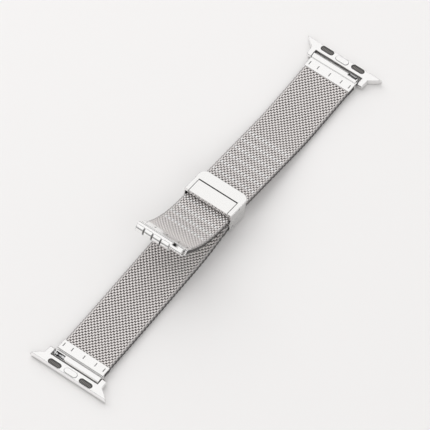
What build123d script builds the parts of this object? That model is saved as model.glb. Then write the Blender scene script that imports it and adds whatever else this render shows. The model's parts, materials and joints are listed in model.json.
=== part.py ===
from build123d import *
from math import ceil, cos, degrees, floor, radians, sin, tan
import os

# Milanese mesh band for a watch, opened and lying skin side up, in millimetres.
# X runs across the band, +Y towards lug A, +Z up, and the band lies on z = 0.

# Whole band
half_length = 87.9
overrun = 1.0

# Woven band
mesh_width = 20.8
mesh_thickness = 2.2
groove_pitch = 4.54
groove_width = 1.3
groove_depth = 0.45
rib_pitch = 2.27
rib_gap_width = 1.1
rib_gap_depth = 0.4
knuckle_gap = 0.05
knuckle_setback = 0.45

# Way of long piece A: clasp face, slope up to it, and its bends
clasp_face_y = -0.9
clasp_slope = 8.0
kink_y = 48.6
last_bend_a_share = 0.4036
first_groove_u = 3.24
groove_count = 10
bend_groove_index = 5.5
tail_groove_count = 3

# Tail of piece A, past the clasp
tail_groove_index = 1.5
tail_radius = 36.0
tail_arc = 24.4

# Way of short piece B, its bends as shares of the way to its pin
bends_b_shares = (0.1895, 0.44, 0.697)

# Lug that slides into the watch
lug_width = 35.1
lug_height = 2.8
lug_flare_reach = 2.5
lug_flare_inset = 2.0
lug_neck_reach = 0.3
lug_neck_inset = 3.5
lug_body_depth = 3.9
lug_edge_round = 0.45
ear_wall = 1.9
pin_inset = 6.1
ear_foot_inset = 4.3
tip_hole_depth = 1.2

# Grip pads in the lug
pad_length = 5.8
pad_width = 2.15
pad_x = 7.2
pad_inset = 1.6
pad_slot_depth = 1.1
pad_clearance = 0.05
pad_sink = 0.15
pad_rib_count = 7
pad_rib_pitch = 0.62
pad_rib_gap = 0.22
pad_rib_depth = 0.2

# Latch in the lug
latch_inset = 1.9
latch_width = 2.2
latch_length = 5.6
latch_flange_length = 6.8
latch_flange_height = 0.5
latch_proud = 0.3
latch_clearance = 0.05
latch_lip = 0.9
latch_cover_height = 0.4
latch_spring_diameter = 1.6
latch_spring_wall = 0.25

# End clamp with its tube
tube_diameter = 3.2
tube_end_gap = 0.4
tube_lever_gap = 1.0
clamp_side_step = 0.1
clamp_overhang = 0.1
clamp_plate = 0.3
clamp_start = 1.7
clamp_end = 6.0
clamp_corner = 0.2
clamp_neck_thickness = 1.9
clamp_web = 0.9
crimp_shares = (-0.886, -0.519, 0.0, 0.519, 0.886)
crimp_centre = 4.0
crimp_length = 1.6
crimp_width = 0.25
crimp_depth = 0.2
lever_facing = 28.0
lever_slot_lead = 1.3
lever_slot_length = 4.0
lever_slot_width = 1.7
tail_slot_inset = 4.0
tail_slot_length = 2.6

# Spring bar in the tube
barrel_diameter = 1.8
barrel_end_sink = 0.25
barrel_clearance = 0.05
barrel_bore_diameter = 1.3
barrel_bore_depth = 9.0
tip_diameter = 0.9
tip_clearance = 0.05
tip_end_gap = 0.1
plunger_clearance = 0.05
plunger_end_sink = 0.15
plunger_length = 4.4
plunger_travel = 1.4
knob_diameter = 0.8
knob_inset = 1.45
knob_proud = 0.5
knob_clearance = 0.05
bar_spring_wall = 0.2

# Stop clip on the tail's tube
clip_thickness = 0.9
clip_clearance = 0.02
clip_first_angle = 158.0
clip_slit_angle = 250.0
clip_slit_margin_angle = 2.0
clip_last_angle = 300.0
clip_side_step = 0.3
clip_finger_width = 3.2
clip_finger_gap = 0.65
clip_finger_count = 4

# Clasp, in its own slope: u along the band from its face, w square to it from the mesh's middle
mesh_side_gap = 0.1
clasp_wall = 0.45
clasp_near = -0.3
clasp_far = 11.8
clasp_headroom = 1.7
clasp_bottom = -5.5
clasp_seam = -0.6
clasp_plate = 1.4
clasp_corner = 3.0
clasp_top_round = 0.5
clasp_base_round = 0.5
seam_chamfer = 0.12
floor_gap = 0.15
floor_thickness = 0.5
bottom_plate_start = 3.3
window_side = 1.9
window_far = 6.6

# Flap that locks the clasp on the mesh
flap_gap = 0.2
flap_far_gap = 0.3
flap_corner = 0.35
flap_pin_u = 4.9
flap_pin_diameter = 0.9
flap_knuckle_radius = 0.85
flap_bore_clearance = 0.05
flap_rib_inset = 1.15
flap_rib_width = 0.8
flap_rib_clearance = 0.06
pin_ear_reach = 1.1
pin_ear_gap = 0.3
pin_sink = 0.1

# Tube that ends piece B on the clasp's lower pin
pin_b_u = 1.3
pin_b_w = -3.45
pin_b_diameter = 1.2
tube_b_diameter = 2.6
tube_b_end_gap = 0.2
tube_b_clearance = 0.05
tube_b_block_start = 1.0
tube_b_block_end = 4.4
tube_b_slot_start = 2.0

# Worked-out sizes
half_mesh = mesh_thickness / 2
pin_height = tube_diameter / 2
pin_y = half_length - pin_inset
last_bend_a_y = kink_y + last_bend_a_share * (pin_y - kink_y)
clamp_width = mesh_width + 2 * clamp_overhang
bar_room = clamp_width + 2 * clamp_side_step
ear_gap = bar_room + 2 * tube_end_gap
ear_outer_x = ear_gap / 2 + ear_wall
lug_neck_x = ear_outer_x + lug_neck_reach
lug_flare_x = ear_outer_x + lug_flare_reach
tube_length = ear_gap - tube_end_gap - tube_lever_gap
tube_shift = (tube_end_gap - tube_lever_gap) / 2
clamp_thickness = mesh_thickness + 2 * clamp_plate
mesh_slot_start = clamp_start + clamp_web
barrel_length = bar_room - 2 * barrel_end_sink
tip_reach = ear_gap / 2 + tip_hole_depth - tip_end_gap
plunger_diameter = barrel_bore_diameter - 2 * plunger_clearance
plunger_outer = barrel_length / 2 - plunger_end_sink
knob_place = barrel_length / 2 - knob_inset
lever_slot_place = knob_place - lever_slot_lead
tail_slot_place = clamp_width / 2 - tail_slot_inset
channel_half_width = mesh_width / 2 + mesh_side_gap
clasp_half_width = channel_half_width + clasp_wall
window_half_width = clasp_half_width - window_side
plate_under = half_mesh + clasp_headroom
clasp_top = plate_under + clasp_plate
flap_pin_w = clasp_top - flap_knuckle_radius
tail_start = tail_groove_index * groove_pitch - first_groove_u
bend_u = first_groove_u + bend_groove_index * groove_pitch
rib_clear = half_mesh + rib_gap_width

# The sloping stretch runs through the clasp and comes down flat at the kink.
clasp_face_z = half_mesh + (kink_y - clasp_face_y) * tan(radians(clasp_slope))
down_slope = Vector(0, cos(radians(clasp_slope)), -sin(radians(clasp_slope)))
incline = Plane(origin=(0, clasp_face_y, clasp_face_z), x_dir=down_slope, z_dir=(1, 0, 0))
clasp_up = Axis(incline.origin, incline.y_dir)
clasp_along = Axis(incline.origin, incline.x_dir)
kink_u = (kink_y - clasp_face_y) / cos(radians(clasp_slope))

# The tail is a round bend, then straight in its clamp.
tail_sweep = tail_arc / tail_radius
tail_centre = (-tail_start, tail_radius)
tail_bar = incline.from_local_coords(
    Vector(
        -tail_start - tail_radius * sin(tail_sweep) - clamp_end * cos(tail_sweep),
        tail_radius * (1 - cos(tail_sweep)) + clamp_end * sin(tail_sweep),
        0,
    )
)
tail_slope = radians(clasp_slope) + tail_sweep
tail_side = Plane(origin=tail_bar, x_dir=(0, cos(tail_slope), -sin(tail_slope)), z_dir=(1, 0, 0))
pin_b = incline.from_local_coords(Vector(pin_b_u, pin_b_w, 0))

os.makedirs("parts", exist_ok=True)


def keep(piece, name):
    """Label a finished piece and write it."""
    piece.part.label = name
    export_step(piece.part, f"parts/{name}.step")


def side_plane(start, end):
    """Side plane at start, with x towards end and y square to it on the skin side."""
    along = Vector(0, end[0] - start[0], end[1] - start[1]).normalized()
    return Plane(origin=(0, *start), x_dir=along, z_dir=along.cross(Vector(0, 0, 1)))


def clasp_plan(w):
    """Plan plane of the clasp at height w, with x across the band and y along u."""
    origin = incline.from_local_coords(Vector(0, w, 0))
    return Plane(origin=origin, x_dir=(1, 0, 0), z_dir=incline.y_dir)


def lever_plane(side):
    """Plane through a tube's axis that faces the lever slot, between skin side and end."""
    facing = side.y_dir * cos(radians(lever_facing)) - side.x_dir * sin(radians(lever_facing))
    return Plane(origin=side.origin, x_dir=side.z_dir, z_dir=facing)


def groove_round(width, depth):
    """Radius of the round that cuts a groove of this width and depth."""
    return ((width / 2) ** 2 + depth**2) / (2 * depth)


def rib_gaps(low, high, anchor):
    """Places of the gaps between ribs from low to high, in step with anchor."""
    first = ceil((low - anchor) / rib_pitch)
    last = floor((high - anchor) / rib_pitch)
    return [anchor + index * rib_pitch for index in range(first, last + 1)]


def span(x_low, x_high, y_low, y_high, mode=Mode.ADD):
    """Rectangle between two x and two y of the sketch."""
    with Locations(((x_low + x_high) / 2, (y_low + y_high) / 2)):
        Rectangle(x_high - x_low, y_high - y_low, mode=mode)


# Woven stretches: a round knuckle turns in the hollow end of the next stretch, and cross ribs
# between rounded gaps stand for the rows of the weave on both sides
def woven_stretch(name, plane, first, last, gaps, rounds=(), hollows=(), grooves=()):
    groove_radius = groove_round(groove_width, groove_depth)
    gap_radius = groove_round(rib_gap_width, rib_gap_depth)
    gap_height = half_mesh + gap_radius - rib_gap_depth
    with BuildPart() as stretch:
        with BuildSketch(plane):
            span(first, last, -half_mesh, half_mesh)
            for place in gaps:
                with Locations((place, gap_height), (place, -gap_height)):
                    Circle(gap_radius, mode=Mode.SUBTRACT)
            for place in rounds:
                with Locations((place, 0)):
                    Circle(half_mesh)
            for place in hollows:
                with Locations((place, 0)):
                    Circle(half_mesh + knuckle_gap, mode=Mode.SUBTRACT)
            for place in grooves:
                with Locations((place, half_mesh + groove_radius - groove_depth)):
                    Circle(groove_radius, mode=Mode.SUBTRACT)
        extrude(amount=mesh_width / 2, both=True)
    keep(stretch, name)


def woven_tail(name):
    start_turn = degrees(knuckle_setback / tail_radius)
    whole_turn = degrees(tail_sweep)
    groove_radius = groove_round(groove_width, groove_depth)
    groove_ring = tail_radius - half_mesh - groove_radius + groove_depth
    gap_radius = groove_round(rib_gap_width, rib_gap_depth)
    gap_height = half_mesh + gap_radius - rib_gap_depth
    cuts = [
        (way, ring, gap_radius)
        for way in rib_gaps(rib_clear, tail_arc - rib_gap_width, first_groove_u + tail_start)
        for ring in (tail_radius - gap_height, tail_radius + gap_height)
    ]
    for index in range(tail_groove_count):
        way = (index + 2) * groove_pitch - first_groove_u - tail_start
        cuts.append((way, groove_ring, groove_radius))
    with BuildPart() as tail:
        with BuildSketch(incline):
            with BuildLine():
                skin = CenterArc(
                    tail_centre, tail_radius - half_mesh, 270 - start_turn, start_turn - whole_turn
                )
                back = CenterArc(
                    tail_centre, tail_radius + half_mesh, 270 - start_turn, start_turn - whole_turn
                )
                Line(skin @ 0, back @ 0)
                Line(skin @ 1, back @ 1)
            make_face()
            with Locations((-tail_start, 0)):
                Circle(half_mesh + knuckle_gap, mode=Mode.SUBTRACT)
            for way, ring, radius in cuts:
                turn = way / tail_radius
                with Locations((tail_centre[0] - ring * sin(turn), tail_centre[1] - ring * cos(turn))):
                    Circle(radius, mode=Mode.SUBTRACT)
        extrude(amount=mesh_width / 2, both=True)
        with BuildSketch(tail_side):
            span(mesh_slot_start, clamp_end, -half_mesh, half_mesh)
        extrude(amount=mesh_width / 2, both=True)
    keep(tail, name)


# End clamp: a tube for the spring bar, and two plates crimped over the mesh
def end_clamp(name, side, lever_side, slot_place, slot_length):
    skin = Plane(
        origin=side.from_local_coords(Vector(crimp_centre, clamp_thickness / 2, 0)),
        x_dir=side.z_dir,
        z_dir=side.y_dir,
    )
    with BuildPart() as clamp:
        with BuildSketch(side):
            with Locations(((clamp_start + clamp_end) / 2, 0)):
                RectangleRounded(clamp_end - clamp_start, clamp_thickness, clamp_corner)
            span(0, clamp_start + clamp_corner, -clamp_neck_thickness / 2, clamp_neck_thickness / 2)
            span(mesh_slot_start, clamp_end + overrun, -half_mesh, half_mesh, Mode.SUBTRACT)
        extrude(amount=clamp_width / 2, both=True)
        with BuildSketch(side.offset(lever_side * tube_shift)):
            Circle(tube_diameter / 2)
        extrude(amount=tube_length / 2, both=True)
        with BuildSketch(side):
            Circle(barrel_diameter / 2 + barrel_clearance)
        extrude(amount=bar_room / 2 + overrun, both=True, mode=Mode.SUBTRACT)
        with BuildSketch(lever_plane(side)):
            with Locations((lever_side * slot_place, 0)):
                Rectangle(slot_length, lever_slot_width)
        extrude(amount=tube_diameter / 2 + overrun, mode=Mode.SUBTRACT)
        with BuildSketch(skin):
            with Locations([(share * clamp_width / 2, 0) for share in crimp_shares]):
                Rectangle(crimp_width, crimp_length)
        extrude(amount=-crimp_depth, mode=Mode.SUBTRACT)
    keep(clamp, name)


def spring_bar(end, side):
    half_barrel = barrel_length / 2
    lever = lever_plane(side)
    knob_room = knob_diameter + 2 * knob_clearance
    with BuildPart() as barrel:
        with BuildSketch(side):
            Circle(barrel_diameter / 2)
        extrude(amount=half_barrel, both=True)
        with BuildSketch(side.offset(half_barrel)):
            Circle(tip_diameter / 2)
        extrude(amount=tip_reach - half_barrel)
        with BuildSketch(side.offset(-half_barrel)):
            Circle(barrel_bore_diameter / 2)
        extrude(amount=barrel_bore_depth, mode=Mode.SUBTRACT)
        with BuildSketch(lever):
            with Locations((plunger_travel / 2 - knob_place, 0)):
                SlotOverall(knob_room + plunger_travel, knob_room)
        extrude(amount=barrel_diameter / 2 + overrun, mode=Mode.SUBTRACT)
    keep(barrel, f"spring_bar_{end}_barrel")

    with BuildPart() as plunger:
        with BuildSketch(side.offset(-plunger_outer)):
            Circle(plunger_diameter / 2)
        extrude(amount=plunger_length)
        with BuildSketch(side.offset(-tip_reach)):
            Circle(tip_diameter / 2)
        extrude(amount=tip_reach - plunger_outer)
        with BuildSketch(lever):
            with Locations((-knob_place, 0)):
                Circle(knob_diameter / 2)
        extrude(amount=tube_diameter / 2 + knob_proud)
    keep(plunger, f"spring_bar_{end}_plunger")

    spring_from = plunger_outer - plunger_length
    with BuildPart() as spring:
        with BuildSketch(side.offset(-spring_from)):
            Circle(plunger_diameter / 2)
            Circle(plunger_diameter / 2 - bar_spring_wall, mode=Mode.SUBTRACT)
        extrude(amount=barrel_bore_depth + spring_from - half_barrel)
    keep(spring, f"spring_bar_{end}_spring")


# Lug: flared bar with two ears, two grip pads and the sprung latch
def lug(end, sign):
    plan = Plane(origin=(0, sign * half_length, 0), x_dir=(-sign, 0, 0), z_dir=(0, 0, 1))
    section = Plane(origin=plan.origin, x_dir=(0, -sign, 0), z_dir=(-sign, 0, 0))
    ear_radius = lug_height - pin_height
    ear_end = pin_inset + ear_radius
    lower_length = latch_flange_length + 2 * latch_clearance
    pocket_width = latch_width + 2 * latch_clearance
    with BuildPart() as body:
        with BuildSketch(plan):
            with BuildLine():
                for side in (-1, 1):
                    tip = (side * lug_width / 2, 0)
                    neck = (side * lug_neck_x, lug_neck_inset)
                    ThreePointArc(tip, (side * lug_flare_x, lug_flare_inset), neck)
                    Polyline(
                        neck,
                        (side * ear_outer_x, ear_end),
                        (side * ear_gap / 2, ear_end),
                        (side * ear_gap / 2, lug_body_depth),
                        (0, lug_body_depth),
                    )
                    Line((0, 0), tip)
            make_face()
        extrude(amount=lug_height)
        with BuildSketch(section):
            with BuildLine():
                ThreePointArc((lug_edge_round, 0), (0, lug_height / 2), (lug_edge_round, lug_height))
                Line((lug_edge_round, lug_height), (pin_inset, lug_height))
                ThreePointArc(
                    (pin_inset, lug_height),
                    (ear_end, pin_height),
                    (pin_inset, pin_height - ear_radius),
                )
                Polyline((pin_inset, pin_height - ear_radius), (ear_foot_inset, 0), (lug_edge_round, 0))
            make_face()
        extrude(amount=lug_width / 2 + overrun, both=True, mode=Mode.INTERSECT)
        for side in (-1, 1):
            with BuildSketch(section.offset(side * ear_gap / 2)):
                with Locations((pin_inset, pin_height)):
                    Circle(tip_diameter / 2 + tip_clearance)
            extrude(amount=side * tip_hole_depth, mode=Mode.SUBTRACT)
        with BuildSketch(plan.offset(lug_height)):
            with Locations((-pad_x, pad_inset), (pad_x, pad_inset)):
                SlotOverall(pad_length, pad_width)
        extrude(amount=-pad_slot_depth, mode=Mode.SUBTRACT)
        with BuildSketch(plan):
            with Locations((0, latch_inset)):
                SlotOverall(lower_length, pocket_width)
        extrude(amount=lug_height - latch_lip, mode=Mode.SUBTRACT)
        with BuildSketch(plan):
            with Locations((0, latch_inset)):
                SlotOverall(latch_length + 2 * latch_clearance, pocket_width)
        extrude(amount=lug_height + overrun, mode=Mode.SUBTRACT)
    keep(body, f"lug_{end}_body")

    pad_bottom = lug_height - pad_slot_depth
    for side, word in ((-1, "left"), (1, "right")):
        with BuildPart() as pad:
            with BuildSketch(plan.offset(pad_bottom)):
                with Locations((side * pad_x, pad_inset)):
                    SlotOverall(pad_length - 2 * pad_clearance, pad_width - 2 * pad_clearance)
            extrude(amount=pad_slot_depth - pad_sink)
            with BuildSketch(plan.offset(lug_height - pad_sink)):
                with Locations((side * pad_x, pad_inset)):
                    with GridLocations(pad_rib_pitch, 0, pad_rib_count, 1):
                        Rectangle(pad_rib_gap, pad_width)
            extrude(amount=-pad_rib_depth, mode=Mode.SUBTRACT)
        keep(pad, f"lug_{end}_pad_{word}")

    flange_top = lug_height - latch_lip - latch_clearance
    with BuildPart() as button:
        with BuildSketch(plan.offset(flange_top - latch_flange_height)):
            with Locations((0, latch_inset)):
                SlotOverall(latch_flange_length, latch_width)
        extrude(amount=latch_flange_height)
        with BuildSketch(plan.offset(flange_top)):
            with Locations((0, latch_inset)):
                SlotOverall(latch_length, latch_width)
        extrude(amount=lug_height + latch_proud - flange_top)
        fillet(button.edges().group_by(Axis.Z)[-1], radius=latch_proud / 2)
    keep(button, f"lug_{end}_latch_button")

    with BuildPart() as cover:
        with BuildSketch(plan):
            with Locations((0, latch_inset)):
                SlotOverall(lower_length, pocket_width)
        extrude(amount=latch_cover_height)
    keep(cover, f"lug_{end}_latch_cover")

    with BuildPart() as latch_spring:
        with BuildSketch(plan.offset(latch_cover_height)):
            with Locations((0, latch_inset)):
                Circle(latch_spring_diameter / 2)
                Circle(latch_spring_diameter / 2 - latch_spring_wall, mode=Mode.SUBTRACT)
        extrude(amount=flange_top - latch_flange_height - latch_cover_height)
    keep(latch_spring, f"lug_{end}_latch_spring")


# Stop clip: four fingers bent round the tail's tube from one spine
def stop_clip(name):
    inner = tube_diameter / 2 + clip_clearance
    outer = inner + clip_thickness
    finger_step = clip_finger_width + clip_finger_gap
    clip_length = clip_finger_count * finger_step - clip_finger_gap
    clip_start = clip_side_step - clamp_width / 2
    with BuildPart() as clip:
        with BuildSketch(tail_side.offset(clip_start)):
            with BuildLine():
                wrap = clip_last_angle - clip_first_angle
                near = CenterArc((0, 0), inner, clip_first_angle, wrap)
                away = CenterArc((0, 0), outer, clip_first_angle, wrap)
                Line(near @ 0, away @ 0)
                Line(near @ 1, away @ 1)
            make_face()
        extrude(amount=clip_length)
        for index in range(1, clip_finger_count):
            slit_at = clip_start + index * finger_step - clip_finger_gap
            with BuildSketch(tail_side.offset(slit_at)):
                with BuildLine():
                    slit_from = clip_first_angle - clip_slit_margin_angle
                    edge = CenterArc((0, 0), outer + overrun, slit_from, clip_slit_angle - slit_from)
                    Line((0, 0), edge @ 0)
                    Line((0, 0), edge @ 1)
                make_face()
            extrude(amount=clip_finger_gap, mode=Mode.SUBTRACT)
    keep(clip, name)


# Clasp shells, flap and pins
def clasp_outline(inset):
    """Clasp seen in plan, its far corners rounded, drawn inset from the outside."""
    with BuildSketch(mode=Mode.PRIVATE) as outline:
        span(
            inset - clasp_half_width,
            clasp_half_width - inset,
            clasp_near,
            clasp_far - inset,
        )
        fillet(outline.vertices().group_by(Axis.Y)[-1], radius=clasp_corner - inset)
    return outline.sketch


def clasp_frame(name):
    with BuildPart() as shell:
        with BuildSketch(clasp_plan(clasp_seam)):
            add(clasp_outline(0))
        extrude(amount=clasp_top - clasp_seam)
        fillet(shell.edges().group_by(clasp_up)[-1].sort_by(clasp_along)[1:], radius=clasp_top_round)
        with BuildSketch(incline):
            span(clasp_near - overrun, clasp_far + overrun, clasp_seam - overrun, plate_under)
        extrude(amount=channel_half_width, both=True, mode=Mode.SUBTRACT)
        with BuildSketch(clasp_plan(clasp_top)):
            span(-window_half_width, window_half_width, clasp_near - overrun, window_far)
        extrude(amount=clasp_plate, both=True, mode=Mode.SUBTRACT)
        for side in (-1, 1):
            with BuildSketch(incline.offset(side * window_half_width)):
                span(
                    flap_pin_u - pin_ear_reach,
                    flap_pin_u + pin_ear_reach,
                    half_mesh + pin_ear_gap,
                    plate_under,
                )
            extrude(amount=side * (channel_half_width - window_half_width))
        with BuildSketch(incline):
            with Locations((flap_pin_u, flap_pin_w)):
                Circle(flap_pin_diameter / 2)
        extrude(amount=clasp_half_width + overrun, both=True, mode=Mode.SUBTRACT)
        seam = shell.edges().group_by(clasp_up)[0].filter_by(clasp_along)
        chamfer(seam.group_by(Axis.X)[0] + seam.group_by(Axis.X)[-1], length=seam_chamfer)
    keep(shell, name)


def clasp_base(name):
    floor_top = -half_mesh - floor_gap
    floor_bottom = floor_top - floor_thickness
    plate_top = clasp_bottom + clasp_wall
    with BuildPart() as shell:
        with BuildSketch(clasp_plan(clasp_bottom)):
            add(clasp_outline(0))
        extrude(amount=clasp_seam - clasp_bottom)
        fillet(shell.edges().group_by(clasp_up)[0].sort_by(clasp_along)[1:], radius=clasp_base_round)
        with BuildSketch(incline):
            span(clasp_near - overrun, clasp_far + overrun, floor_top, clasp_seam + overrun)
        extrude(amount=channel_half_width, both=True, mode=Mode.SUBTRACT)
        with BuildSketch(clasp_plan(plate_top)):
            add(clasp_outline(clasp_wall))
        extrude(amount=floor_bottom - plate_top, mode=Mode.SUBTRACT)
        with BuildSketch(incline):
            span(clasp_near - overrun, bottom_plate_start, clasp_bottom - overrun, floor_bottom)
        extrude(amount=channel_half_width, both=True, mode=Mode.SUBTRACT)
        with BuildSketch(incline):
            with Locations((pin_b_u, pin_b_w)):
                Circle(pin_b_diameter / 2)
        extrude(amount=clasp_half_width + overrun, both=True, mode=Mode.SUBTRACT)
        seam = shell.edges().group_by(clasp_up)[-1].filter_by(clasp_along)
        chamfer(seam.group_by(Axis.X)[0] + seam.group_by(Axis.X)[-1], length=seam_chamfer)
    keep(shell, name)


def clasp_flap(name):
    rib_u = first_groove_u
    with BuildPart() as flap:
        with BuildSketch(incline) as profile:
            span(clasp_near, window_far - flap_far_gap, plate_under, clasp_top)
            fillet(profile.vertices().group_by(Axis.Y)[-1], radius=flap_corner)
            with Locations((flap_pin_u, flap_pin_w)):
                Circle(flap_knuckle_radius)
                Circle(flap_pin_diameter / 2 + flap_bore_clearance, mode=Mode.SUBTRACT)
        extrude(amount=window_half_width - flap_gap, both=True)
        with BuildSketch(incline):
            span(
                rib_u - flap_rib_width / 2,
                rib_u + flap_rib_width / 2,
                half_mesh + flap_rib_clearance,
                plate_under,
            )
        extrude(amount=window_half_width - flap_rib_inset, both=True)
    keep(flap, name)


def clasp_pin(name, u, w, diameter):
    with BuildPart() as pin:
        with BuildSketch(incline):
            with Locations((u, w)):
                Circle(diameter / 2)
        extrude(amount=clasp_half_width - pin_sink, both=True)
    keep(pin, name)


def clasp_tube(name, side):
    with BuildPart() as tube:
        with BuildSketch(side):
            Circle(tube_b_diameter / 2)
            span(0, tube_b_block_end, -clamp_thickness / 2, clamp_thickness / 2)
            for side_of_tube in (-1, 1):
                with Locations((0, side_of_tube * (tube_b_diameter / 2 + overrun))):
                    Rectangle(2 * tube_b_block_start, 2 * overrun, mode=Mode.SUBTRACT)
            span(tube_b_slot_start, tube_b_block_end + overrun, -half_mesh, half_mesh, Mode.SUBTRACT)
            Circle(pin_b_diameter / 2 + tube_b_clearance, mode=Mode.SUBTRACT)
        extrude(amount=channel_half_width - tube_b_end_gap, both=True)
    keep(tube, name)


# Long piece A
grooves_u = [first_groove_u + index * groove_pitch for index in range(-1, groove_count - 1)]
woven_stretch(
    "strap_a_sliding_stretch",
    incline,
    -tail_start,
    bend_u,
    rib_gaps(rib_clear - tail_start, bend_u - rib_clear, first_groove_u),
    rounds=(-tail_start, bend_u),
    grooves=[u for u in grooves_u if u < bend_u],
)
woven_stretch(
    "strap_a_sloping_stretch",
    incline,
    bend_u + knuckle_setback,
    kink_u,
    rib_gaps(bend_u + rib_clear, kink_u - rib_clear, first_groove_u),
    rounds=(kink_u,),
    hollows=(bend_u,),
    grooves=[u for u in grooves_u if u > bend_u],
)
kink = (kink_y, half_mesh)
last_bend_a = (last_bend_a_y, half_mesh)
woven_stretch(
    "strap_a_flat_stretch",
    side_plane(kink, last_bend_a),
    knuckle_setback,
    last_bend_a_y - kink_y,
    rib_gaps(rib_clear, last_bend_a_y - kink_y - rib_clear, rib_clear),
    rounds=(last_bend_a_y - kink_y,),
    hollows=(0,),
)
woven_tail("strap_a_tail")
end_clamp("tail_end_clamp", tail_side, 1, tail_slot_place, tail_slot_length)
stop_clip("tail_stop_clip")

# Short piece B
bends_b = [(-share * pin_y, half_mesh) for share in bends_b_shares]
way_b = side_plane((pin_b.Y, pin_b.Z), bends_b[0])
reach_b = (Vector(0, *bends_b[0]) - pin_b).length
clasp_tube("strap_b_clasp_tube", way_b)
near_gaps = rib_gaps(tube_b_block_end + rib_gap_width, reach_b - rib_clear, reach_b - rib_clear)
woven_stretch("strap_b_near_stretch", way_b, tube_b_slot_start, reach_b, near_gaps, rounds=(reach_b,))
for word, start, end in (("middle", bends_b[0], bends_b[1]), ("flat", bends_b[1], bends_b[2])):
    reach = start[0] - end[0]
    woven_stretch(
        f"strap_b_{word}_stretch",
        side_plane(start, end),
        knuckle_setback,
        reach,
        rib_gaps(rib_clear, reach - rib_clear, rib_clear),
        rounds=(reach,),
        hollows=(0,),
    )

# The same end on both pieces: last stretch, clamp, spring bar and lug
for end, sign, last_bend in (("a", 1, last_bend_a), ("b", -1, bends_b[-1])):
    pin = (sign * pin_y, pin_height)
    way = side_plane(last_bend, pin)
    reach = (Vector(0, *pin) - Vector(0, *last_bend)).length
    back = side_plane(pin, last_bend)
    gaps = rib_gaps(rib_clear, reach - clamp_end - rib_gap_width, rib_clear)
    slot_start = reach - mesh_slot_start
    woven_stretch(f"strap_{end}_end_stretch", way, knuckle_setback, slot_start, gaps, hollows=(0,))
    end_clamp(f"strap_{end}_end_clamp", back, -1, lever_slot_place, lever_slot_length)
    spring_bar(end, back)
    lug(end, sign)

# Clasp
clasp_frame("clasp_frame")
clasp_base("clasp_base")
clasp_flap("clasp_flap")
clasp_pin("flap_pin", flap_pin_u, flap_pin_w, flap_pin_diameter)
clasp_pin("strap_b_pin", pin_b_u, pin_b_w, pin_b_diameter)
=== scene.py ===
# %% [markdown]
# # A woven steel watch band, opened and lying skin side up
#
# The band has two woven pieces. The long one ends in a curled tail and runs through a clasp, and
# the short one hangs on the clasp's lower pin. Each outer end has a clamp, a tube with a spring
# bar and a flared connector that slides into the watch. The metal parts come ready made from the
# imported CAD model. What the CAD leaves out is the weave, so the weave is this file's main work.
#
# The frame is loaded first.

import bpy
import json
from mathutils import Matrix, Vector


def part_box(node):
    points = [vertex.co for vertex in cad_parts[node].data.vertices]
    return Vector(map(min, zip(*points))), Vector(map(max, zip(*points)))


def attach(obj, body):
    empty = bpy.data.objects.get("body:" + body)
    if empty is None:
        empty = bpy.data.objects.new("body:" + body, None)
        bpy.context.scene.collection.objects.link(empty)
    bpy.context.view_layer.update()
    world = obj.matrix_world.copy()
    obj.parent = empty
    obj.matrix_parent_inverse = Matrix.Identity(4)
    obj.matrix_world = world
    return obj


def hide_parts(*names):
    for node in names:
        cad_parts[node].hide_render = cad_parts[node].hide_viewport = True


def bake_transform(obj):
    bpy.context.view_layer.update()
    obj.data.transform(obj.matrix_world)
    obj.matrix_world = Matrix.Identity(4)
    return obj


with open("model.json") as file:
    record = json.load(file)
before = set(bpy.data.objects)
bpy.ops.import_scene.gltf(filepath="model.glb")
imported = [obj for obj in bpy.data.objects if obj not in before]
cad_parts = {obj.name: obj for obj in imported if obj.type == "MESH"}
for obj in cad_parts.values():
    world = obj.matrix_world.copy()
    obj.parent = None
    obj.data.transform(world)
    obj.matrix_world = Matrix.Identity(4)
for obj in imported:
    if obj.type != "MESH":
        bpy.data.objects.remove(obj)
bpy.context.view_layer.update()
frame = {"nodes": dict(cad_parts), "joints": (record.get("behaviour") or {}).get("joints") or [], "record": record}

# %% [markdown]
# ## Millimetres and joints
#
# Blender counts in metres and this band is small, so each size is a number times `MM`. The places
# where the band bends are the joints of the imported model. They are looked up by name, so that
# none is typed a second time.

# %% Millimetres and joints
import json
import math

import bpy
from mathutils import Vector

MM = 0.001
joints = {joint["name"]: joint for joint in frame["joints"]}

# %% [markdown]
# ## Nodes written as sums
#
# A node tree is easier to read as a line of Python. `Flow` wraps one output socket, and adding,
# multiplying or comparing it places a Math node. `add` places any other node: its settings come
# first, then the values or links of its sockets. Both serve materials and Geometry Nodes alike.


# %% Flow and add
class Flow:
    """One output socket, with Python's operators standing for Math nodes."""

    def __init__(self, tree, socket):
        self.tree = tree
        self.socket = socket

    def __getitem__(self, name):
        """Another output of the same node."""
        return Flow(self.tree, self.socket.node.outputs[name])

    def maths(self, operation, *others):
        return maths(self.tree, operation, self, *others)

    def between(self, low, high):
        """The value, held between two limits."""
        return self.maths("MINIMUM", high).maths("MAXIMUM", low)

    def __add__(self, other):
        return self.maths("ADD", other)

    def __sub__(self, other):
        return self.maths("SUBTRACT", other)

    def __rsub__(self, other):
        return maths(self.tree, "SUBTRACT", other, self)

    def __mul__(self, other):
        return self.maths("MULTIPLY", other)

    def __truediv__(self, other):
        return self.maths("DIVIDE", other)

    def __mod__(self, other):
        return self.maths("FLOORED_MODULO", other)

    def __pow__(self, other):
        return self.maths("POWER", other)

    def __gt__(self, other):
        return self.maths("GREATER_THAN", other)

    def __lt__(self, other):
        return self.maths("LESS_THAN", other)

    def __abs__(self):
        return self.maths("ABSOLUTE")

    __radd__ = __add__
    __rmul__ = __mul__


def maths(tree, operation, *values):
    return add(tree, "ShaderNodeMath", {"operation": operation}, dict(enumerate(values)))


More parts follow.
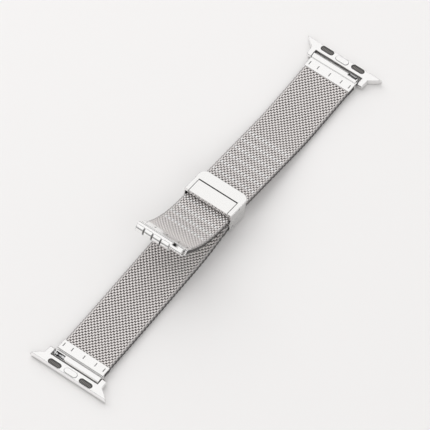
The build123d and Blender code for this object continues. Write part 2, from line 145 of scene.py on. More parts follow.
def add(tree, kind, settings=(), sockets=(), output=0):
    """Place a node, set it up, fill or link its sockets and return one output as a Flow."""
    node = tree.nodes.new(kind)
    for name, value in dict(settings).items():
        setattr(node, name, value)
    for name, value in dict(sockets).items():
        if isinstance(value, Flow):
            tree.links.new(value.socket, node.inputs[name])
        else:
            node.inputs[name].default_value = value
    return Flow(tree, node.outputs[output])


trial = bpy.data.node_groups.new("trial", "ShaderNodeTree")
trial_sum = 1 - add(trial, "ShaderNodeValue") * 2
print("1 - value * 2 is", len(trial.nodes), "nodes, the last of them", trial_sum.socket.node.name)
bpy.data.node_groups.remove(trial)

# %% [markdown]
# ## The way of each woven piece
#
# Seen from the side, each woven piece is a line with a few corners, and the joints say where they
# are. Real mesh takes no sharp corner. A Bezier curve could round them, but rows of wire are
# counted by length, and the length along an arc is plain. So each corner becomes an arc, and the
# tail's curl is one more, only longer. The result is a curve in the YZ plane, and the weave
# follows it.


# %% Rounded corners
def side_point(name):
    """A joint's place seen from the side, as y and z."""
    _, y, z = joints[name]["pos_m"]
    return Vector((y, z))


def turned(vector, angle):
    c, s = math.cos(angle), math.sin(angle)
    return Vector((vector.x * c - vector.y * s, vector.x * s + vector.y * c))


def rounded_line(corners, radii, step=0.4 * MM):
    """Points along a line of corners, each inner corner rounded to its radius."""
    points = [corners[0]]
    for before, corner, after, radius in zip(corners, corners[1:], corners[2:], radii):
        arriving = (corner - before).normalized()
        leaving = (after - corner).normalized()
        turn = arriving.angle_signed(leaving)
        start = corner - arriving * radius * abs(math.tan(turn / 2))
        inward = Vector((arriving.y, -arriving.x)) * math.copysign(1, turn)
        centre = start + inward * radius
        count = max(2, math.ceil(radius * abs(turn) / step))
        for index in range(count + 1):
            points.append(centre - turned(inward, -turn * index / count) * radius)
    return points + [corners[-1]]


print("the tail bends at y", round(side_point("tail_bend").x / MM, 2), "mm")


# %% A way and its length
class Way:
    """The side line of one woven piece: its points, its length and a curve through them."""

    def __init__(self, name, corners, radii):
        self.points = rounded_line(corners, radii)
        self.length = sum((b - a).length for a, b in self.steps())
        self.curve = bpy.data.curves.new(name, "CURVE")
        self.curve.dimensions = "3D"
        spline = self.curve.splines.new("POLY")
        spline.points.add(len(self.points) - 1)
        for place, point in zip(spline.points, self.points):
            place.co = (0, point.x, point.y, 1)
        print(name, "is", round(self.length / MM, 1), "mm long")

    def steps(self):
        return zip(self.points, self.points[1:])

    def length_at(self, y):
        """Length along the way up to where it passes a y of the frame."""
        travelled = 0.0
        for a, b in self.steps():
            step = (b - a).length
            if min(a.x, b.x) <= y <= max(a.x, b.x):
                return travelled + step * (y - a.x) / (b.x - a.x)
            travelled += step
        return travelled


# %% [markdown]
# ### The long way and the short way
#
# The long piece starts at the tail's tube, curls down to the clasp, runs down a gentle slope and
# lies flat up to connector A. The tail's tube has no joint, so its place is worked out from the
# curl before it. The short piece starts at connector B and ends at the clasp's lower pin.

# %% Long way and short way
tail_radius = 36 * MM
tail_arc = 24.4 * MM
clamp_reach = 6.0 * MM
bend_radius = 60 * MM

tail_bend = side_point("tail_bend")
kink_a = side_point("bend_a_kink")
down_slope = (kink_a - tail_bend).normalized()
off_slope = Vector((-down_slope.y, down_slope.x))
sweep = tail_arc / tail_radius
tail_corner = tail_bend - down_slope * tail_radius * math.tan(sweep / 2)
tail_back = tail_radius * math.sin(sweep) + clamp_reach * math.cos(sweep)
tail_rise = tail_radius * (1 - math.cos(sweep)) + clamp_reach * math.sin(sweep)
tail_tube = tail_bend - down_slope * tail_back + off_slope * tail_rise

way_a = Way(
    "long_piece_way",
    [tail_tube, tail_corner, kink_a, side_point("bend_a_end"), side_point("lug_a_hinge")],
    [tail_radius, bend_radius, bend_radius],
)
way_b = Way(
    "short_piece_way",
    [side_point(name) for name in ("lug_b_hinge", "bend_b_end", "bend_b_near", "strap_b_hinge")],
    [bend_radius, bend_radius],
)

# %% [markdown]
# ## The weave
#
# This mesh is made of flat coils of wire. Each coil lies across the band, and each is wound into
# the loops of the one before, half a turn out of step. Rolling then presses the outer faces flat.
# One coil is a rule, and the band repeats it some two hundred times. Its copies could be placed
# by hand, but Geometry Nodes keep the rule itself: a line of points wound into a coil, a tube
# along it, two kinds of row, and at the end a bend that lays the flat weave along its way.
#
# Each size is a named input of the tree. The clasp locks in pressed grooves, five rows apart.

# %% Sizes of the weave
rows_per_groove = 5
groove_pitch = 4.54 * MM
row_pitch = groove_pitch / rows_per_groove
mesh_width = 20.8 * MM
wire_radius = 0.43 * MM
coil_reach = 0.48 * MM
weave_sizes = {
    "Width": mesh_width,
    "Half thickness": 1.1 * MM,
    "Wire radius": wire_radius,
    "Coil reach": coil_reach,
    "Row pitch": row_pitch,
    "Groove pitch": groove_pitch,
    "Groove depth": 0.2 * MM,
    "Groove half width": 0.6 * MM,
    "Bead half width": 0.3 * MM,
    "Bead half height": 0.85 * MM,
    "Bead notch": 0.05 * MM,
}
weave_counts = {"Coil turns": 13, "Rows per groove": rows_per_groove}
print("rows of coils are", round(row_pitch / MM, 3), "mm apart")

# %% Inputs of the weave's tree
weave = bpy.data.node_groups.new("woven_stretch", "GeometryNodeTree")
weave_inputs = {"Geometry": "NodeSocketGeometry", "Material": "NodeSocketMaterial"}
for name in (*weave_sizes, "First place"):
    weave_inputs[name] = "NodeSocketFloat"
for name in (*weave_counts, "First row", "Rows", "Groove row", "Grooves"):
    weave_inputs[name] = "NodeSocketInt"
for name, kind in weave_inputs.items():
    weave.interface.new_socket(name=name, in_out="INPUT", socket_type=kind)
weave.interface.new_socket(name="Geometry", in_out="OUTPUT", socket_type="NodeSocketGeometry")
give = add(weave, "NodeGroupInput")
print(weave.name, "takes", len(weave_inputs), "inputs")

# %% [markdown]
# ### One coil
#
# A round helix would look like a spring. In the real mesh the strands on each face lie straight
# along the band, and the whole sideways step is taken at the turn from one face to the other. An
# odd power does that: it stays near 0 in the middle of a half turn and rises steeply at both
# ends. A power below 1 squares the loop off, so that it fills the band's thickness. The height of
# each point is kept as an attribute, because the finish paints shade on the low parts of the wire
# by it, and reads from it which parts the rolls rubbed.


# %% Small helpers for shapes
tube_sides = 8


def vector_of(tree, **parts):
    return add(tree, "ShaderNodeCombineXYZ", {}, parts)


def parts_of(vector):
    """A vector's parts, as the outputs X, Y and Z."""
    return add(vector.tree, "ShaderNodeSeparateXYZ", {}, {"Vector": vector})


def vector_maths(tree, operation, sockets, output="Vector"):
    return add(tree, "ShaderNodeVectorMath", {"operation": operation}, sockets, output)


def moved(geometry, place):
    sockets = {"Geometry": geometry, "Position": place}
    return add(geometry.tree, "GeometryNodeSetPosition", {}, sockets)


def curve_through(line):
    return add(line.tree, "GeometryNodeMeshToCurve", {}, {"Mesh": line})


def tube_along(curve, radius):
    """A closed tube of few sides, because the band has thousands of turns of it."""
    sockets = {"Resolution": tube_sides, "Radius": radius}
    ring = add(curve.tree, "GeometryNodeCurvePrimitiveCircle", {}, sockets)
    sockets = {"Curve": curve, "Profile Curve": ring, "Fill Caps": True}
    return add(curve.tree, "GeometryNodeCurveToMesh", {}, sockets)


def named(geometry, name, value):
    """The geometry with a value kept on each point, for its finish to read."""
    settings = {"data_type": "FLOAT", "domain": "POINT"}
    sockets = {"Geometry": geometry, "Name": name, "Value": value}
    return add(geometry.tree, "GeometryNodeStoreNamedAttribute", settings, sockets)


print("a tube has", tube_sides, "sides")

# %% One coil of wire
steps_per_turn = 10
spare_turns = 0.5
straightness = 5.0
centre_depth = 0.7
along_power = 0.85
height_power = 0.55


def squared_off(wave, power):
    """A wave with flat tops. The lower the power, the squarer it is."""
    return abs(wave) ** power * wave.maths("SIGN")


def coil_of_wire(start_turn):
    """One flattened coil across the band, as a closed tube of wire."""
    count = (give["Coil turns"] + 2 * spare_turns) * steps_per_turn + 1
    line = add(weave, "GeometryNodeMeshLine", {}, {"Count": count})
    turns = add(weave, "GeometryNodeInputIndex") / steps_per_turn - spare_turns
    angle = (turns + start_turn) * (2 * math.pi)
    half_turn = (angle / math.pi).maths("FRACT") - 0.5
    sidestep = half_turn**straightness * 2 ** (straightness - 1)
    straight = turns + (sidestep - half_turn) * 0.5
    across = (straight / give["Coil turns"]).between(0.0, 1.0)
    along = squared_off(angle.maths("COSINE"), along_power) * give["Coil reach"] * -1.0
    height = give["Half thickness"] - give["Wire radius"] * centre_depth
    place = vector_of(
        weave,
        X=(across - 0.5) * (give["Width"] - give["Wire radius"] * 2),
        Y=along,
        Z=squared_off(angle.maths("SINE"), height_power) * height,
    )
    wire = tube_along(moved(curve_through(line), place), give["Wire radius"])
    here = parts_of(add(weave, "GeometryNodeInputPosition"))
    return named(wire, "lift", here["Z"] / give["Half thickness"])


even_coil = coil_of_wire(start_turn=0.0)
odd_coil = coil_of_wire(start_turn=0.5)
print("two coils take", len(weave.nodes), "nodes")

# %% [markdown]
# ### Rows of coils
#
# Each row is one point on a line. Even rows get one coil and odd rows the other, which starts
# half a turn later. Rows could be chosen by a random value or a list, but the remainder of the
# row's number keeps the two in turn also where one stretch ends and the next begins. The row at
# the bottom of each groove is marked, because the finish paints a highlight on it.

# %% Rows of coils
half_row = 0.5
first_row_y = give["Row pitch"] * give["First row"] + give["First place"]
line_start = vector_of(weave, Y=first_row_y)
row_step = vector_of(weave, Y=give["Row pitch"])
rows = add(
    weave,
    "GeometryNodeMeshLine",
    {},
    {"Count": give["Rows"], "Start Location": line_start, "Offset": row_step},
)
row = add(weave, "GeometryNodeInputIndex") + give["First row"]
past_first = row - give["Groove row"]
last_groove_row = give["Grooves"] * give["Rows per groove"] - give["Rows per groove"]
in_grooves = (past_first > -half_row) * (last_groove_row + half_row > past_first)
in_step = (1 - past_first % give["Rows per groove"]).maths("MAXIMUM", 0.0)
rows = named(rows, "groove", in_step * in_grooves)

odd = row % 2.0
woven_parts = []
for coil, chosen in ((even_coil, 1 - odd), (odd_coil, odd)):
    sockets = {"Points": rows, "Selection": chosen, "Instance": coil}
    woven_parts.append(add(weave, "GeometryNodeInstanceOnPoints", {}, sockets))
print("with rows it has", len(weave.nodes), "nodes")

# %% [markdown]
# ### Side beads
#
# Along both side edges the ends of the coils are fused into a narrow bead with a slight notch
# between rows. The ends of the wires could be bent in one by one, but at this size only the bead
# shows. So it is one tube with an oval section, and a cosine along it makes the notches.

# %% Side beads
bead_steps = 4
# The height kept on the beads for the finish, which puts them part way into the wire's painted shade.
bead_lift = 0.62


def side_bead(side):
    """The fused side edge of the weave, with one notch a row. The side is -1 or 1."""
    step = vector_of(weave, Y=give["Row pitch"] / bead_steps)
    count = give["Rows"] * bead_steps + 1
    sockets = {"Count": count, "Start Location": line_start, "Offset": step}
    line = add(weave, "GeometryNodeMeshLine", {}, sockets)
    bead = tube_along(curve_through(line), 1.0)
    here = parts_of(add(weave, "GeometryNodeInputPosition"))
    turn = here["Y"] * (2 * math.pi) / give["Row pitch"]
    half_width = turn.maths("COSINE") * give["Bead notch"] + give["Bead half width"]
    middle = (give["Width"] * 0.5 - give["Bead half width"] - give["Bead notch"]) * side
    place = vector_of(
        weave,
        X=here["X"] * half_width + middle,
        Y=here["Y"],
        Z=here["Z"] * give["Bead half height"],
    )
    return named(moved(bead, place), "lift", bead_lift)


woven_parts += [side_bead(side) for side in (-1, 1)]
print("with beads it has", len(weave.nodes), "nodes")

# %% [markdown]
# ### Rolled flat, grooved and laid along the way
#
# Rolling is a limit on each point's height, as simple as it is in the mill. A groove is a dip on
# the skin side only, deepest at its row and gone a little way off. Ping-pong gives the distance
# to the nearest groove without a list of them. Then each point goes to the place on the way that
# lies as far along as the point's Y, and its height is measured square to the way there.

# %% Rolled and grooved
joined = weave.nodes.new("GeometryNodeJoinGeometry")
for part in woven_parts:
    weave.links.new(part.socket, joined.inputs[0])
sockets = {"Geometry": Flow(weave, joined.outputs[0])}
flat = add(weave, "GeometryNodeRealizeInstances", {}, sockets)

here = parts_of(add(weave, "GeometryNodeInputPosition"))
half_thickness = give["Half thickness"]
rolled = here["Z"].between(half_thickness * -1.0, half_thickness)
half_pitch = give["Groove pitch"] / 2
first_groove = give["First place"] + give["Groove row"] * give["Row pitch"]
last_groove = first_groove + last_groove_row * give["Row pitch"]
beside = (here["Y"] - first_groove).maths("PINGPONG", half_pitch)
groove = (1 - beside / give["Groove half width"]).maths("MAXIMUM", 0.0)
in_reach = (here["Y"] > first_groove - half_pitch) * (here["Y"] < last_groove + half_pitch)
skin_share = (here["Z"] > 0.0) * (here["Z"] / half_thickness)
height = rolled - groove * in_reach * skin_share * give["Groove depth"]
print("with grooves it has", len(weave.nodes), "nodes")

# %% Laid along the way
on_way = add(
    weave,
    "GeometryNodeSampleCurve",
    {"mode": "LENGTH"},
    {"Curves": give["Geometry"], "Length": here["Y"]},
    output="Position",
)
square_to_way = vector_maths(weave, "CROSS_PRODUCT", {0: (1, 0, 0), 1: on_way["Tangent"]})
lifted = vector_maths(weave, "SCALE", {0: square_to_way, "Scale": height})
place = vector_maths(weave, "ADD", {0: on_way, 1: lifted})
place = vector_maths(weave, "ADD", {0: place, 1: vector_of(weave, X=here["X"])})
laid = moved(flat, place)
print("laid along its way it has", len(weave.nodes), "nodes")

# %% [markdown]
# ### Smooth wire with pressed edges
#
# The wire is shaded smooth, so that its eight sides look round. Where rolling has cut it flat it
# has a true edge, and an edge that turns by more than about 54 degrees is left sharp.

# %% Shading and output
sharp_from = 0.95
smooth = add(weave, "GeometryNodeSetShadeSmooth", {}, {"Geometry": laid})
soft_edge = add(weave, "GeometryNodeInputMeshEdgeAngle") < sharp_from
sockets = {"Geometry": smooth, "Shade Smooth": soft_edge}
shaded = add(weave, "GeometryNodeSetShadeSmooth", {"domain": "EDGE"}, sockets)
sockets = {"Geometry": shaded, "Material": give["Material"]}
dressed = add(weave, "GeometryNodeSetMaterial", {}, sockets)
weave_output = weave.nodes.new("NodeGroupOutput")
weave.links.new(dressed.socket, weave_output.inputs[0])
print(weave.name, "has", len(weave.nodes), "nodes")

# %% [markdown]
# ## Finishes
#
# Nearly all of this object is the same steel, and what sets its parts apart is how each was
# worked: rolled wire, polished plates, brushed side walls, turned pins. A finish could be one
# plain metal with one roughness, but then all of them would look cast. So each has its own grain,
# and its own answer to gaps and edges. A few helpers serve them all.


# %% Helpers for finishes
def finish_of(name, colour, metallic, roughness):
    """A material with one Principled shader. The values are its plain look, under any pattern."""
    material = bpy.data.materials.new(name)
    material.use_nodes = True
    tree = material.node_tree
    shader = tree.nodes["Principled BSDF"]
    shader.inputs["Base Color"].default_value = (*colour, 1)
    shader.inputs["Metallic"].default_value = metallic
    shader.inputs["Roughness"].default_value = roughness
    return material, tree, shader


def feed(shader, socket, flow):
    flow.tree.links.new(flow.socket, shader.inputs[socket])


def object_place(tree):
    return add(tree, "ShaderNodeTexCoord", output="Object")


def face_way(tree):
    """Which way the face looks, before any bump."""
    return add(tree, "ShaderNodeNewGeometry", output="Normal")


def stretched_noise(tree, scale, stretch=(1, 1, 1), detail=3.0):
    mapped = add(tree, "ShaderNodeMapping", {}, {"Vector": object_place(tree), "Scale": stretch})
    sockets = {"Vector": mapped, "Scale": scale, "Detail": detail}
    return add(tree, "ShaderNodeTexNoise", {}, sockets)


def mixed(factor, low, high):
    """A colour between two colours, of which the low one may be a Flow."""
    if not isinstance(low, Flow):
        low = (*low, 1)
    colour_a, colour_b, colour_out = 6, 7, 2  # the Mix node has an A and a B for each data type
    sockets = {"Factor": factor, colour_a: low, colour_b: (*high, 1)}
    return add(factor.tree, "ShaderNodeMix", {"data_type": "RGBA"}, sockets, colour_out)


def smooth_rise(value, low, high, least=0.0):
    """The least up to a low value, 1 from a high one, and a soft step between them."""
    settings = {"interpolation_type": "SMOOTHSTEP"}
    sockets = {"Value": value, "From Min": low, "From Max": high, "To Min": least, "To Max": 1.0}
    return add(value.tree, "ShaderNodeMapRange", settings, sockets)


def bump(height, strength, distance, **more):
    sockets = {"Strength": strength, "Distance": distance, "Height": height, **more}
    return add(height.tree, "ShaderNodeBump", {}, sockets)


# Painted shade: the near black colour put in the gaps between wires and between rubber ribs.
painted_gap_shade = (0.012, 0.011, 0.01)
print("a gap between wires or ribs has the colour", painted_gap_shade)

# %% [markdown]
# ### Woven wire
#
# The wire is bright where rolling has rubbed it flat, and painted shade, near black, lies down
# inside the weave. Ambient Occlusion could find the gaps, but it is grainy on shapes this small,
# and the coils already know their height. So the kept attribute is the mask of the painted shade,
# and it also makes the rubbed tops smoother. The rows in a groove get a white painted highlight.
# The side beads get painted shade, as if they lay in the shade of the coils, and are rougher too,
# and drawing the wire has left fine lines along it, which are a faint bump.

# %% Finish of the woven wire
# Painted light on the wire: the rubbed tops take the steel colour, and the low parts go to the painted gap shade.
rubbed_steel = (0.89, 0.857, 0.847)
# White painted highlight for the rows in a groove, and below it how far it lifts them in the painted light.
painted_groove_highlight = (1.0, 1.0, 1.0)
lit_and_rubbed_from, lit_and_rubbed_at = 0.42, 0.86
groove_highlight_gain = 0.22
side_from, side_at = mesh_width * 0.45, mesh_width * 0.49
# Share of painted shade on the side beads, which also makes them rougher.
side_shade_and_dulling = 0.45
drawn_roughness = 0.38
rubbed_gloss = 0.12
grain_roughness = 0.06


def kept_value(tree, name):
    return add(tree, "ShaderNodeAttribute", {"attribute_name": name}, output="Fac")


def woven_wire():
    material, tree, shader = finish_of("woven_wire", (0.7, 0.69, 0.68), 1.0, 0.3)
    near_side = smooth_rise(abs(parts_of(object_place(tree))["X"]), side_from, side_at)
    groove = kept_value(tree, "groove") * (1 - near_side)
    height = abs(kept_value(tree, "lift")) + groove * groove_highlight_gain
    # Painted shade by height: low wire goes near black, and high rubbed wire stays steel coloured and smoother.
    lit_and_rubbed = smooth_rise(height, lit_and_rubbed_from, lit_and_rubbed_at) * (1 - near_side * side_shade_and_dulling)
    colour = mixed(lit_and_rubbed, painted_gap_shade, rubbed_steel)
    # Painted highlight: the rows in a groove are mixed towards white.
    feed(shader, "Base Color", mixed(groove * lit_and_rubbed, colour, painted_groove_highlight))
    grain = stretched_noise(tree, scale=900.0)
    roughness = drawn_roughness - lit_and_rubbed * rubbed_gloss + grain * grain_roughness
    feed(shader, "Roughness", roughness)
    drawn_lines = stretched_noise(tree, scale=6000.0, stretch=(1.0, 0.15, 1.0), detail=2.0)
    feed(shader, "Normal", bump(drawn_lines, strength=0.12, distance=0.02 * MM))
    return material


wire_finish = woven_wire()
print(wire_finish.name, "has", len(wire_finish.node_tree.nodes), "nodes")

# %% [markdown]
# ### Polished steel
#
# The connectors, end clamps and clasp are polished. In a white room such steel is nearly white,
# and what draws its shape are dark lines: gaps, creases and edges. They could be thin strips of
# dark geometry, but painted shade gives them for all parts at once. Ambient Occlusion paints
# shade into the colour of what lies in a gap. A Bevel node bends the light round each edge as a
# small radius would, and where it turns the face, a little painted shade is mixed in. The clasp's
# side walls get painted shade, so they look darker than its top. Over it all lie the faint
# hairlines and clouds that handling leaves.

# %% Masks of the polished steel
open_from, open_at = 0.22, 0.88
edge_from, edge_at = 0.01, 0.2
wall_from, wall_at = 0.9, 0.98


def open_mask(tree, distance):
    """1 on an open face, falling to 0 down in a gap."""
    settings, sockets = {"samples": 8}, {"Distance": distance}
    light = add(tree, "ShaderNodeAmbientOcclusion", settings, sockets, output="AO")
    return smooth_rise(light, open_from, open_at)


def edge_mask(rim):
    """0 on a face, rising towards 1 where a Bevel node turns it at an edge."""
    sockets = {0: face_way(rim.tree), 1: rim}
    agreeing = vector_maths(rim.tree, "DOT_PRODUCT", sockets, "Value")
    return smooth_rise(1 - agreeing, edge_from, edge_at)


def wall_mask(tree):
    """1 on walls that face sideways, across the band, and 0 elsewhere."""
    return smooth_rise(abs(parts_of(face_way(tree))["X"]), wall_from, wall_at)


print("an open face has at least", open_at, "of its sky")

# %% Finish of polished steel
hairlines_along = (1.0, 0.05, 1.0)
hairlines_across = (0.05, 1.0, 1.0)
hairlines_up = (1.0, 1.0, 0.1)
hairline_roughness = 0.08
cloud_roughness = 0.06
# Share of the steel colour left where painted shade falls: in gaps, at turned edges and on sideways walls.
painted_shade_share = 0.08


def polished_steel(
    name, colour, roughness, hairline_way, edge, gap=0.6 * MM, edge_shade=0.0, wall_shade=0.0
):
    """Steel with painted shade in gaps, round edges and hairlines. The two shades paint edges and walls darker."""
    material, tree, shader = finish_of(name, colour, 1.0, roughness)
    rim = add(tree, "ShaderNodeBevel", {"samples": 4}, {"Radius": edge})
    # Painted shade: gaps, turned edges and sideways walls are mixed towards the shaded colour.
    unshaded = open_mask(tree, gap)
    unshaded = unshaded * (1 - edge_mask(rim) * edge_shade)
    unshaded = unshaded * (1 - wall_mask(tree) * wall_shade)
    painted_shade_colour = tuple(part * painted_shade_share for part in colour)
    feed(shader, "Base Color", mixed(unshaded, painted_shade_colour, colour))
    hairlines = stretched_noise(tree, scale=2500.0, stretch=hairline_way, detail=4.0)
    clouds = stretched_noise(tree, scale=180.0)
    smoothest = roughness - (hairline_roughness + cloud_roughness) / 2
    marks = hairlines * hairline_roughness + clouds * cloud_roughness
    feed(shader, "Roughness", marks + smoothest)
    feed(shader, "Normal", bump(hairlines, strength=0.05, distance=0.01 * MM, Normal=rim))
    return material


mirror_steel = polished_steel(
    "mirror_steel",
    (0.96, 0.955, 0.95),
    roughness=0.14,
    hairline_way=hairlines_along,
    edge=0.3 * MM,
    gap=0.75 * MM,
    edge_shade=0.3,
)
# The clasp's sideways walls get painted shade through wall_shade.
clasp_steel = polished_steel(
    "clasp_steel",
    (0.94, 0.935, 0.925),
    roughness=0.2,
    hairline_way=hairlines_across,
    edge=0.2 * MM,
    gap=1.2 * MM,
    wall_shade=0.3,
)
turned_steel = polished_steel(
    "turned_steel", (0.72, 0.72, 0.73), 0.24, hairlines_across, edge=0.05 * MM
)
spring_steel = polished_steel("spring_steel", (0.6, 0.6, 0.61), 0.3, hairlines_up, edge=0.02 * MM)
print("polished finishes have", len(mirror_steel.node_tree.nodes), "nodes each")

# %% [markdown]
# ### Rubber pads
#
# Each connector has two pads of soft dark rubber that grip the watch's case. They are moulded
# with fine ribs across and sit a little below the steel. The ribs could be cut into the mesh, but
# they are finer than the picture shows, so they are a pattern of painted light and shade: lighter
# on each crown and dark between. Close to the pad's rim the steel's wall takes the light away, and
# painted shade follows it.

# %% Size of a pad
pad_middle_x = 7.2 * MM
rib_pitch = 0.62 * MM
pad_low, pad_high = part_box("lug_a_pad_left")
pad_middle_y = (pad_low[1] + pad_high[1]) / 2
pad_half_width = (pad_high[1] - pad_low[1]) / 2
pad_half_length = (pad_high[0] - pad_low[0]) / 2
print("pad", round(2 * pad_half_length / MM, 2), "by", round(2 * pad_half_width / MM, 2), "mm")

# %% Finish of the rubber
# Painted light on the rib crowns, and painted shade between the ribs and near the pad's rim.
lit_rib_crown = (0.27, 0.257, 0.247)
crown_from, crown_at = 0.05 * MM, 0.24 * MM
side_rim_from, side_rim_at = pad_half_width * 0.4, pad_half_width * 0.8
end_rim_from, end_rim_at = pad_half_length * 0.7, pad_half_length * 0.9
rim_shade = 0.75
bloom_depth = 0.4


def grip_rubber():
    material, tree, shader = finish_of("grip_rubber", (0.1, 0.095, 0.09), 0.0, 0.62)
    place = parts_of(object_place(tree))
    from_middle = abs(place["X"]) - pad_middle_x
    from_line = abs(abs(place["Y"]) - pad_middle_y)
    # Painted light and shade across each rib.
    crown_light = smooth_rise(from_middle.maths("PINGPONG", rib_pitch / 2), crown_from, crown_at)
    side_rim = smooth_rise(from_line, side_rim_from, side_rim_at)
    end_rim = smooth_rise(abs(from_middle), end_rim_from, end_rim_at)
    bloom = stretched_noise(tree, scale=700.0) * bloom_depth + (1 - bloom_depth / 2)
    shade = crown_light * bloom * (1 - side_rim * rim_shade) * (1 - end_rim * rim_shade)
    feed(shader, "Base Color", mixed(shade, painted_gap_shade, lit_rib_crown))
    grain = stretched_noise(tree, scale=5000.0)
    feed(shader, "Normal", bump(grain, strength=0.25, distance=0.04 * MM))
    return material


rubber = grip_rubber()
print(rubber.name, "has", len(rubber.node_tree.nodes), "nodes")

# %% [markdown]
# ### Dress the metal and rubber parts
#
# The record of the imported model says which kind of material each node is. Choosing by that slot
# keeps this file free of a second list of 37 names. Only the clasp differs: its side walls get
# painted shade, so it gets its own finish.

# %% Dress the CAD nodes
finishes = {
    "mesh": wire_finish,
    "polished": mirror_steel,
    "pin_steel": turned_steel,
    "spring_wire": spring_steel,
    "pad": rubber,
}
slot_of = {part["node"]: part["material_slot"] for part in frame["record"]["subparts"]}
for name, node in frame["nodes"].items():
    finish = clasp_steel if name.startswith("clasp") else finishes[slot_of[name]]
    node.data.materials.clear()
    node.data.materials.append(finish)
print("finishes on", len(slot_of), "nodes")

# %% [markdown]
# ## Weave the stretches
#
# One rigid CAD stretch of mesh stands for many rows, and the real rows bend at each of its
# joints. One woven piece a stretch would tear open at the joint. So each woven piece covers one
# joint, from the middle of one stretch to the middle of the next, and bends smoothly over it. A
# piece ends between two rows where nothing moves, and the next one begins there.


# %% Weave one piece
def woven_piece(name, curve, counts, first_place, replaced):
    """A plain mesh of rows of coils, laid along a way, in place of some CAD nodes."""
    carrier = bpy.data.objects.new(name + "_way", curve)
    bpy.context.scene.collection.objects.link(carrier)
    modifier = carrier.modifiers.new("weave", "NODES")
    modifier.node_group = weave
    values = {**weave_sizes, **weave_counts, **counts}
    values.update({"First place": first_place, "Material": wire_finish})
    for item in weave.interface.items_tree:
        if item.in_out == "INPUT" and item.name in values:
            modifier[item.identifier] = values[item.name]
    bpy.context.view_layer.update()
    evaluated = carrier.evaluated_get(bpy.context.evaluated_depsgraph_get())
    mesh = bpy.data.meshes.new_from_object(evaluated)
    mesh.name = name
    piece = bpy.data.objects.new(name, mesh)
    bpy.context.scene.collection.objects.link(piece)
    bpy.data.objects.remove(carrier)
    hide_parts(*replaced)
    print(name, counts["Rows"], "rows,", len(mesh.polygons), "faces")
    return piece


# %% [markdown]
# ### A whole piece of the band
#
# Each stretch is a line in a table: its name, the y in millimetres at which it begins, the joint
# it bends over, half the length of that bend in millimetres, and the CAD nodes that it replaces.
# A stretch without a joint is attached to the body of the sliding stretch, and the others stay
# where they lie.


# %% Weave a row of stretches
def weave_all(stretches, way, first_place, row_total, groove_row=0, grooves=0):
    starts = [way.length_at(y * MM) - first_place for _, y, *_ in stretches[1:]]
    edges = [0, *(round(start / row_pitch) for start in starts), row_total]
    for stretch, first, last in zip(stretches, edges, edges[1:]):
        name, _, joint_name, reach, replaced = stretch
        counts = {
            "First row": first,
            "Rows": last - first,
            "Groove row": groove_row,
            "Grooves": grooves,
        }
        piece = woven_piece(name, way.curve, counts, first_place, replaced)
        if joint_name is None:
            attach(piece, "sliding_stretch_a")
            continue
        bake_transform(piece)


row_room = coil_reach + wire_radius
print("a row needs", round(row_room / MM, 2), "mm beside a clamp")

# %% [markdown]
# ### Long piece
#
# The weave starts inside the tail's clamp. Its grooves begin two and a half pitches before the
# joint of the tail, so that the joint lies midway between two of them, and run on under the
# clasp. The first row is counted back from the first groove, because a groove has to fall on a
# row.

# %% Long piece
groove_count = 13
grooves_before_bend = 2.5
clamp_slot = 2.6 * MM
first_groove_a = clamp_reach + tail_arc - grooves_before_bend * groove_pitch
groove_row_a = int((first_groove_a - clamp_slot - row_room) / row_pitch)
first_place_a = first_groove_a - groove_row_a * row_pitch
row_total_a = int((way_a.length - first_place_a - clamp_slot - row_room) / row_pitch) + 1
print("first groove", round(first_groove_a / MM, 2), "mm from the tail's tube")
print("long piece", row_total_a, "rows")

stretches_a = [
    ("woven_tail", None, "tail_bend", 2.0, ["strap_a_tail"]),
    ("woven_slide", -3.0, None, None, ["strap_a_sliding_stretch"]),
    ("woven_slope", 24.2, "bend_a_slope", 1.9, ["strap_a_sloping_stretch"]),
    ("woven_kink", 38.0, "bend_a_kink", 4.0, ["strap_a_flat_stretch"]),
    ("woven_end_a", 55.0, "bend_a_end", 4.0, ["strap_a_end_stretch"]),
]
weave_all(stretches_a, way_a, first_place_a, row_total_a, groove_row_a, groove_count)

# %% [markdown]
# ### Short piece
#
# This piece has no grooves. It starts in the clamp of connector B and ends in the tube that turns
# on the clasp's lower pin.

# %% Short piece
tube_b_slot = 2.0 * MM
first_place_b = clamp_slot + row_room
row_total_b = int((way_b.length - first_place_b - tube_b_slot - row_room) / row_pitch) + 1
print("short piece", row_total_b, "rows")

near_b_nodes = ["strap_b_middle_stretch", "strap_b_near_stretch"]
stretches_b = [
    ("woven_end_b", None, "bend_b_end", 4.0, ["strap_b_end_stretch"]),
    ("woven_middle_b", -46.0, "bend_b_middle", 4.0, ["strap_b_flat_stretch"]),
    ("woven_near_b", -26.0, "bend_b_near", 4.0, near_b_nodes),
]
weave_all(stretches_b, way_b, first_place_b, row_total_b)

# %% [markdown]
# ## Floor
#
# The band lies on a smooth pale floor, which only has to catch its shadow. A curved backdrop
# would do as well, but from this height the camera sees no horizon, so one large square is
# enough. It lies a hair below the band, or the two would fight for the same pixels.

# %% Floor
floor_half = 3.0
floor_drop = 0.02 * MM
floor_sheen = 0.2

floor_mesh = bpy.data.meshes.new("pale_floor")
corners = [(x * floor_half, y * floor_half, 0) for x, y in ((-1, -1), (1, -1), (1, 1), (-1, 1))]
floor_mesh.from_pydata(corners, [], [(0, 1, 2, 3)])
floor = bpy.data.objects.new("pale_floor", floor_mesh)
bpy.context.scene.collection.objects.link(floor)
floor_white, _, floor_shader = finish_of("floor_white", (0.926, 0.914, 0.909), 0.0, 0.6)
floor_shader.inputs["Specular IOR Level"].default_value = floor_sheen
floor_mesh.materials.append(floor_white)
floor.location = (0, 0, -floor_drop)
print("floor is", 2 * floor_half, "m wide")

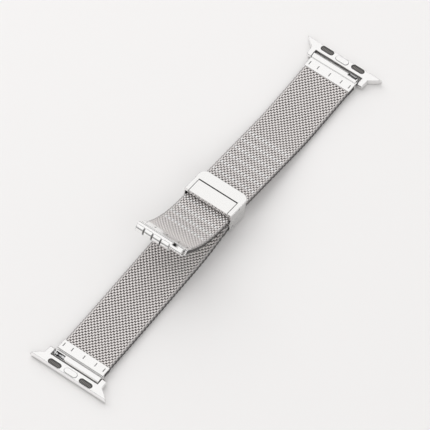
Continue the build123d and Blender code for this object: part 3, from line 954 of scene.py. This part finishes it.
# %% [markdown]
# ## World
#
# Polished metal only looks like metal when it has something to mirror. A picture of a studio
# could be wrapped round the scene, but a gradient is plainer and gives the same every time. So
# for what the camera or a mirror sees, the world is white overhead and darker low down. As a
# source of light it is even and milder, so that pale steel doesn't clip to white.

# %% World
dark_below, white_above = 0.08, 0.5
low_level, plain_level = 0.12, 0.63

world = bpy.data.worlds.new("studio")
bpy.context.scene.world = world
world.use_nodes = True
sky = world.node_tree
rays = add(sky, "ShaderNodeLightPath")
seen = rays["Is Camera Ray"] + rays["Is Glossy Ray"] + rays["Is Transmission Ray"]
seen = seen.maths("MINIMUM", 1.0)
upward = parts_of(add(sky, "ShaderNodeTexCoord", output="Generated"))["Z"]
overhead = smooth_rise(upward, dark_below, white_above, low_level)
backdrop = sky.nodes["Background"]
backdrop.inputs["Color"].default_value = (0.98, 0.975, 0.97, 1)
feed(backdrop, "Strength", seen * overhead + (1 - seen) * plain_level)
print("world has", len(sky.nodes), "nodes")

# %% [markdown]
# ## Lamps
#
# One broad soft lamp at the upper left gives the shadow at the band's right, and a weaker one
# opposite keeps that side from going dark. A small hard lamp would draw a sharp shadow, which the
# photographer's diffuser avoids. Both are left out of reflections, or the steel would show two
# white discs.


# %% Lamps
def soft_lamp(name, place, size, power):
    light = bpy.data.lights.new(name, "AREA")
    light.shape = "DISK"
    light.size = size
    light.energy = power
    lamp = bpy.data.objects.new(name, light)
    bpy.context.scene.collection.objects.link(lamp)
    lamp.location = place
    lamp.visible_glossy = False
    lamp.rotation_mode = "QUATERNION"
    lamp.rotation_quaternion = (-Vector(place)).to_track_quat("-Z", "Y")
    print(name, power, "W, at", place)


soft_lamp("key_lamp", (-0.9, 0.45, 1.0), size=2.0, power=12.0)
soft_lamp("fill_lamp", (0.7, -0.6, 0.8), size=0.8, power=1.6)

# %% [markdown]
# ## Camera
#
# The photograph's side lines run nearly parallel, so its camera stood far off with a long lens.
# It could be placed by eye, but both connectors have known sizes, and fitting a camera to their
# corners gives its angles and lens. The lens is given in pixels of the photograph, which is 430
# wide.


# %% Camera
def photo_camera(azimuth, elevation, target, distance, focal_pixels, frame_pixels):
    camera = bpy.data.cameras.new("photo_camera")
    camera.sensor_width = 36.0
    camera.lens = focal_pixels / frame_pixels * camera.sensor_width
    camera.clip_start = 0.1
    camera.clip_end = 20.0
    viewer = bpy.data.objects.new("photo_camera", camera)
    bpy.context.scene.collection.objects.link(viewer)
    a, e = math.radians(azimuth), math.radians(elevation)
    back = Vector((math.sin(a) * math.cos(e), -math.cos(a) * math.cos(e), math.sin(e)))
    viewer.location = Vector(target) + back * distance
    viewer.rotation_mode = "QUATERNION"
    viewer.rotation_quaternion = (-back).to_track_quat("-Z", "Y")
    bpy.context.scene.camera = viewer
    print("lens", round(camera.lens, 2), "mm")


photo_camera(
    azimuth=36.502,
    elevation=58.45,
    target=(1.146 * MM, 2.334 * MM, 0),
    distance=2.0,
    focal_pixels=5293.4,
    frame_pixels=430,
)

# %% [markdown]
# ## View
#
# The Standard view shows a colour as it is written. The box of all that shows is written beside
# the imported box, which proves that dressing the band hasn't changed its size.

# %% View settings
bpy.context.scene.view_settings.view_transform = "Standard"
